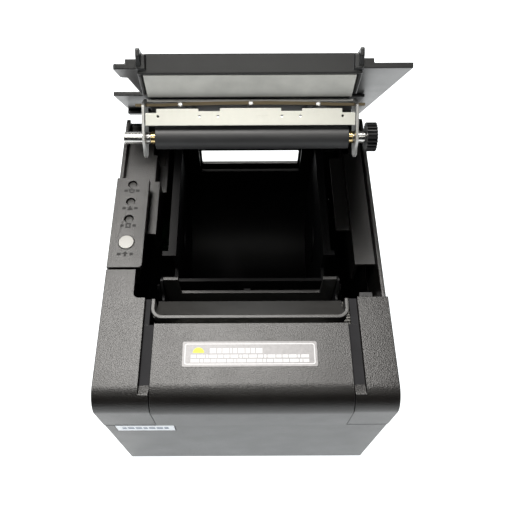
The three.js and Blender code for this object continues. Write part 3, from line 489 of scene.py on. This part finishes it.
def lid_matrix():
    """From the closed lid, in the case's coordinates, to where the lid stands open."""
    hinge = Vector(JOINTS["lid_hinge"]["pos_m"])
    joint = next(j for j in RECORD["behaviour"]["joints"] if j["name"] == "lid_hinge")
    angle = -math.radians(joint["range_deg"][1])
    return (Matrix.Translation(hinge) @ Matrix.Rotation(angle, 4, "X")
            @ Matrix.Translation((-hinge.x, -hinge.y, -hinge.z)))


# Pale facing on the closed lid's inner front wall, painted light in place of the light the dark wall reflects,
# drawn from the case's middle, which is OVERHANG mm ahead of the model's origin.
OVERHANG = 5.25
BAND_WALL = ((-34.25, 110.3), (-22.45, 103.65), (-22.35, 103.8), (-34.1, 110.45))


def paint_lid_wall_light():
    """Painted light: a pale facing on the sloping front wall inside the lid, in place of the light it reflects."""
    low, high = box_mm("platen_bracket")
    side = Matrix(((0, 0, 1, 0), (1, 0, 0, 0), (0, 1, 0, 0), (0, 0, 0, 1)))
    wall = [(y - OVERHANG, z) for y, z in BAND_WALL]
    prisms("lid_wall_painted_light", [wall], low.x + 2.4, high.x - 2.8, BAND_PAINTED_LIGHT, "lid",
           lid_matrix() @ side)


def contacts(name, node, count, first, pitch, half_width, depth):
    """A row of gold springs inside a socket, at a depth below its top."""
    low, high = box_mm(node)
    outlines = []
    for index in range(count):
        x = low.x + first + index * pitch
        outlines.append(rectangle(x - half_width, x + half_width, high.y - 11, high.y - 2))
    prisms(name, outlines, high.z - depth, high.z - depth + 0.3, GOLD, "case")


label_print()
badge_print()
panel_marks()
groove_floors()
collars()
paint_lid_wall_light()
contacts("network_contacts", "lan_port", 8, 3.6, 1.27, 0.22, 3.6)
contacts("drawer_contacts", "drawer_port", 6, 3.9, 1.02, 0.2, 3.4)


# ---- stage --------------------------------------------------------------------------------
FLOOR_REACH = 3.0
FLOOR_GLOW = 1.2


def add_floor():
    mesh = bpy.data.meshes.new("floor")
    corners = ((-1, -1), (1, -1), (1, 1), (-1, 1))
    mesh.from_pydata([(x * FLOOR_REACH, y * FLOOR_REACH, 0) for x, y in corners], [], [(0, 1, 2, 3)])
    floor = bpy.data.objects.new("floor", mesh)
    bpy.context.scene.collection.objects.link(floor)
    paper = surface("floor_paper", (0.30, 0.30, 0.30), 0.8, grain=2, depth=0.05, bump=0.05, mottle=90,
                    spread=0.01, specular=0.1)
    shader = paper.node_tree.nodes["Principled BSDF"]
    shader.inputs["Emission Color"].default_value = (0.95, 0.985, 1.0, 1)
    shader.inputs["Emission Strength"].default_value = FLOOR_GLOW
    mesh.materials.append(paper)


def add_area(name, place, target, size, power, color):
    light = bpy.data.lights.new(name, "AREA")
    light.shape = "RECTANGLE"
    light.size, light.size_y = size
    light.energy = power
    light.color = color
    lamp = bpy.data.objects.new(name, light)
    lamp.location = place
    lamp.rotation_euler = (Vector(target) - Vector(place)).to_track_quat("-Z", "Y").to_euler()
    bpy.context.scene.collection.objects.link(lamp)


WORLD_STRENGTH = 0.02
# Name, place, target, size, power in watts and colour.
SOFTBOXES = (
    ("softbox_back", (-0.2, 0.5, 1.6), (0, 0, 0.1), (0.9, 0.8), 42, (1.0, 0.975, 0.94)),
    ("softbox_lid", (0, -0.62, 1.54), (0, 0.01, 0.19), (0.9, 0.4), 2.9, (1.0, 0.995, 0.95)),
    ("softbox_left", (-1.3, -0.1, 1.1), (0, 0, 0.1), (0.5, 0.7), 4, (0.95, 0.98, 1.0)),
)


def add_lights():
    world = bpy.data.worlds.new("studio")
    world.use_nodes = True
    background = world.node_tree.nodes["Background"]
    background.inputs["Color"].default_value = (0.92, 0.96, 1.0, 1)
    background.inputs["Strength"].default_value = WORLD_STRENGTH
    bpy.context.scene.world = world
    for softbox in SOFTBOXES:
        add_area(*softbox)


CAMERA_LENS = 41.24
CAMERA_SENSOR = 36
CAMERA_SHIFT = 0.0239
CAMERA_PLACE = (0, -0.16525, 0.3831)
CAMERA_SLANT = 29.23    # degrees forward from straight down
CAMERA_ROLL = -0.25


def add_camera():
    """Stands in front of the printer and above it, looking down into the open lid."""
    camera_data = bpy.data.cameras.new("camera")
    camera_data.lens = CAMERA_LENS
    camera_data.sensor_width = CAMERA_SENSOR
    camera_data.shift_x = CAMERA_SHIFT
    camera = bpy.data.objects.new("camera", camera_data)
    camera.location = CAMERA_PLACE
    slant = Matrix.Rotation(math.radians(CAMERA_SLANT), 3, "X")
    roll = Matrix.Rotation(math.radians(CAMERA_ROLL), 3, "Z")
    camera.rotation_euler = (slant @ roll).to_euler()
    bpy.context.scene.collection.objects.link(camera)
    bpy.context.scene.camera = camera


add_floor()
add_lights()
add_camera()
bpy.context.scene.view_settings.view_transform = "Standard"
